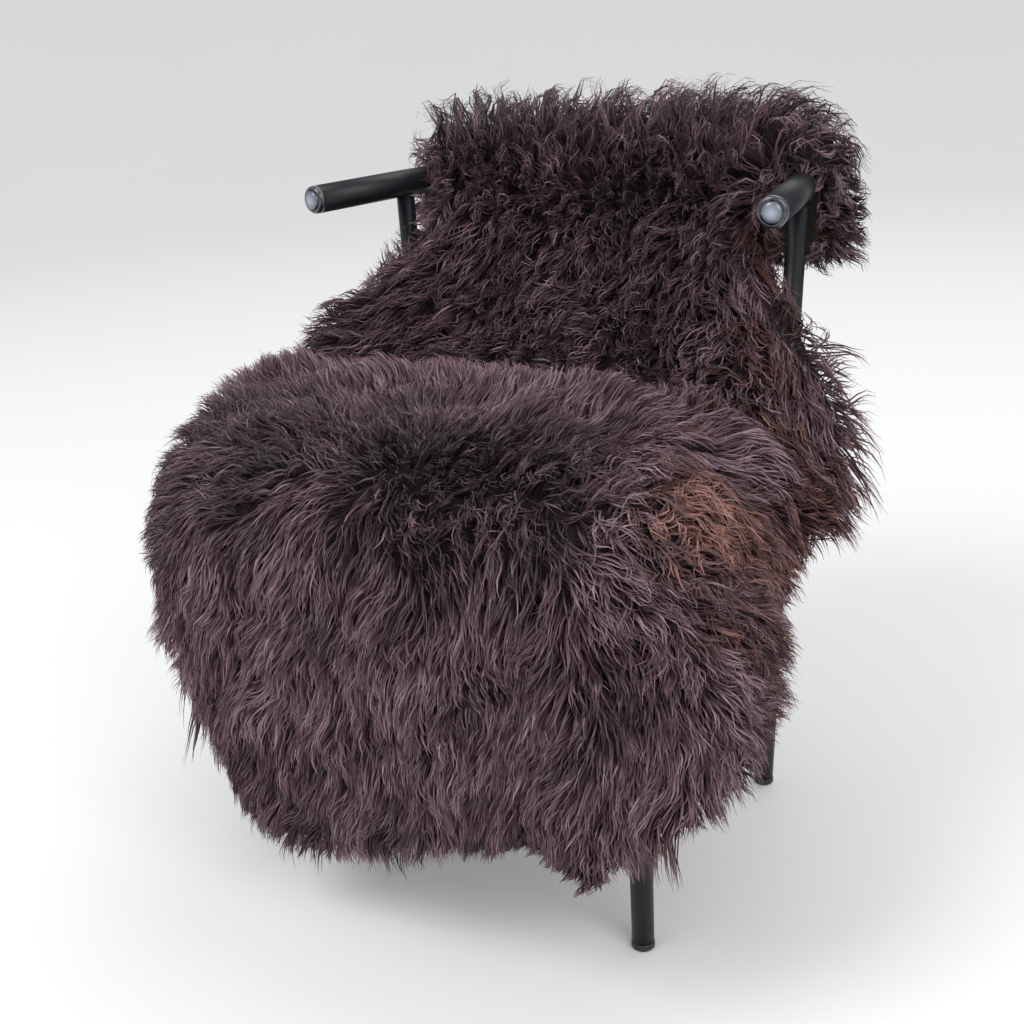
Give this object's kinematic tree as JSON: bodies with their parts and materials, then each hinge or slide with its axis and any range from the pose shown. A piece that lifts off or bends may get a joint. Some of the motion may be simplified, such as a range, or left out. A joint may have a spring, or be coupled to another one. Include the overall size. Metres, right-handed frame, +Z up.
{
  "type": "sheepskin rug draped over a metal chair",
  "caption": "Long-wool dark brown sheepskin hung over the bowed back rail, seat and front of a plain round-bar metal chair; one rigid draped shape for sitting on.",
  "frame": {"origin": "the middle of the right front foot, where it stands on the floor", "axes": "+Z up; the sitter faces -Y; +X is the chair's side that is on the right when it is seen from the front"},
  "size_m": [0.7811, 0.7349, 0.7795],
  "materials": {
    "hide": "dry tanned hide, buff",
    "wool": "long dark brown wool in combed locks",
    "frame": "satin black paint",
    "caps": "polished blue-black",
    "glides": "matt black"
  },
  "bodies": {
    "root": {"back_rail": "frame", "edge_locks_01": "wool", "edge_locks_02": "wool", "edge_locks_03": "wool", "edge_locks_04": "wool", "edge_locks_05": "wool", "edge_locks_06": "wool", "edge_locks_07": "wool", "edge_locks_08": "wool", "front_glide_left": "glides", "front_glide_right": "glides", "front_leg_left": "frame", "front_leg_right": "frame", "front_stretcher": "frame", "hide": "hide", "rail_cap_left": "caps", "rail_cap_right": "caps", "rear_glide_left": "glides", "rear_glide_right": "glides", "rear_leg_left": "frame", "rear_leg_right": "frame", "rear_stretcher": "frame", "seat": "frame", "side_stretcher_left": "frame", "side_stretcher_right": "frame", "wool": "wool"}
  },
  "joints": []
}
